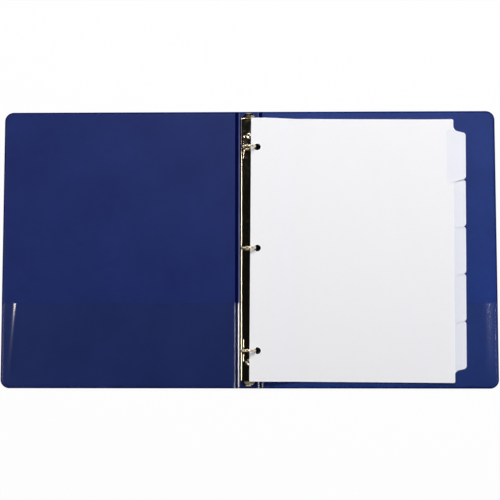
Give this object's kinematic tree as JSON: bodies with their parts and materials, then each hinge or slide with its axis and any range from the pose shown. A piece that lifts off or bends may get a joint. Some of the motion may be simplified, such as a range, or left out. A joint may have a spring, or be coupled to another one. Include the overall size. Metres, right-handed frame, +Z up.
{
  "type": "ring binder",
  "caption": "Open ring binder in navy vinyl with nickel-plated round rings, end levers, clear inside pockets and white tabbed dividers.",
  "frame": {"origin": "under the middle of the spine, on the surface that the open binder lies on", "axes": "+X across the spine towards the back cover, +Y along the spine towards the binder's top edge, +Z up out of the opened covers"},
  "size_m": [0.5258, 0.2954, 0.0202],
  "materials": {
    "navy_vinyl": "finely grained navy vinyl, heat welded",
    "clear_film": "clear glossy vinyl film",
    "greyboard": "solid grey board made of pressed paper",
    "nickel_plate": "bright nickel plate on pressed steel",
    "index_paper": "smooth white index stock"
  },
  "bodies": {
    "spine": {"spine_board": "greyboard", "spine_outer_vinyl": "navy_vinyl", "spine_inner_vinyl": "navy_vinyl", "front_hinge_strip": "navy_vinyl", "back_hinge_strip": "navy_vinyl", "ring_housing": "nickel_plate", "top_rivet": "nickel_plate", "bottom_rivet": "nickel_plate"},
    "front_cover": {"front_board": "greyboard", "front_outer_vinyl": "navy_vinyl", "front_inner_vinyl": "navy_vinyl", "front_pocket": "clear_film"},
    "back_cover": {"back_board": "greyboard", "back_outer_vinyl": "navy_vinyl", "back_inner_vinyl": "navy_vinyl", "back_pocket": "clear_film"},
    "left_rings": {"left_hinge_plate": "nickel_plate", "left_ring_top": "nickel_plate", "left_ring_middle": "nickel_plate", "left_ring_bottom": "nickel_plate"},
    "right_rings": {"right_hinge_plate": "nickel_plate", "right_ring_top": "nickel_plate", "right_ring_middle": "nickel_plate", "right_ring_bottom": "nickel_plate"},
    "top_booster": {"top_booster": "nickel_plate"},
    "bottom_booster": {"bottom_booster": "nickel_plate"},
    "divider_1": {"divider_1": "index_paper"},
    "divider_2": {"divider_2": "index_paper"},
    "divider_3": {"divider_3": "index_paper"},
    "divider_4": {"divider_4": "index_paper"},
    "divider_5": {"divider_5": "index_paper"}
  },
  "joints": [
    {"name": "front_cover_hinge", "type": "hinge", "parent": "spine", "child": "front_cover", "pos_m": [-0.0127, 0, 0.0013], "axis": [0, 1, 0], "range_deg": [0, 90], "deforming": ["front_hinge_strip"]},
    {"name": "back_cover_hinge", "type": "hinge", "parent": "spine", "child": "back_cover", "pos_m": [0.0127, 0, 0.0013], "axis": [0, -1, 0], "range_deg": [0, 90], "deforming": ["back_hinge_strip"]},
    {"name": "ring_opening", "type": "hinge", "parent": "spine", "child": "left_rings", "pos_m": [-0.0067, 0, 0.0052], "axis": [0, -1, 0], "range_deg": [0, 16]},
    {"name": "right_ring_opening", "type": "hinge", "parent": "spine", "child": "right_rings", "pos_m": [0.0067, 0, 0.0052], "axis": [0, 1, 0], "range_deg": [0, 16]},
    {"name": "top_booster_press", "type": "hinge", "parent": "spine", "child": "top_booster", "pos_m": [0, 0.1365, 0.0052], "axis": [-1, 0, 0], "range_deg": [0, 16]},
    {"name": "bottom_booster_press", "type": "hinge", "parent": "spine", "child": "bottom_booster", "pos_m": [0, -0.1365, 0.0052], "axis": [1, 0, 0], "range_deg": [0, 16]},
    {"name": "divider_1_turn", "type": "hinge", "parent": "spine", "child": "divider_1", "pos_m": [0, 0, 0.01157], "axis": [0, -1, 0], "range_deg": [0, 90]},
    {"name": "divider_2_turn", "type": "hinge", "parent": "spine", "child": "divider_2", "pos_m": [0, 0, 0.01157], "axis": [0, -1, 0], "range_deg": [0, 90]},
    {"name": "divider_3_turn", "type": "hinge", "parent": "spine", "child": "divider_3", "pos_m": [0, 0, 0.01157], "axis": [0, -1, 0], "range_deg": [0, 90]},
    {"name": "divider_4_turn", "type": "hinge", "parent": "spine", "child": "divider_4", "pos_m": [0, 0, 0.01157], "axis": [0, -1, 0], "range_deg": [0, 90]},
    {"name": "divider_5_turn", "type": "hinge", "parent": "spine", "child": "divider_5", "pos_m": [0, 0, 0.01157], "axis": [0, -1, 0], "range_deg": [0, 90]}
  ],
  "couplings": [
    {"joint": "right_ring_opening", "follows": "ring_opening", "ratio": 1},
    {"joint": "top_booster_press", "follows": "ring_opening", "ratio": 1},
    {"joint": "bottom_booster_press", "follows": "ring_opening", "ratio": 1},
    {"joint": "divider_1_turn", "follows": "back_cover_hinge", "ratio": 1},
    {"joint": "divider_2_turn", "follows": "back_cover_hinge", "ratio": 1},
    {"joint": "divider_3_turn", "follows": "back_cover_hinge", "ratio": 1},
    {"joint": "divider_4_turn", "follows": "back_cover_hinge", "ratio": 1},
    {"joint": "divider_5_turn", "follows": "back_cover_hinge", "ratio": 1}
  ]
}
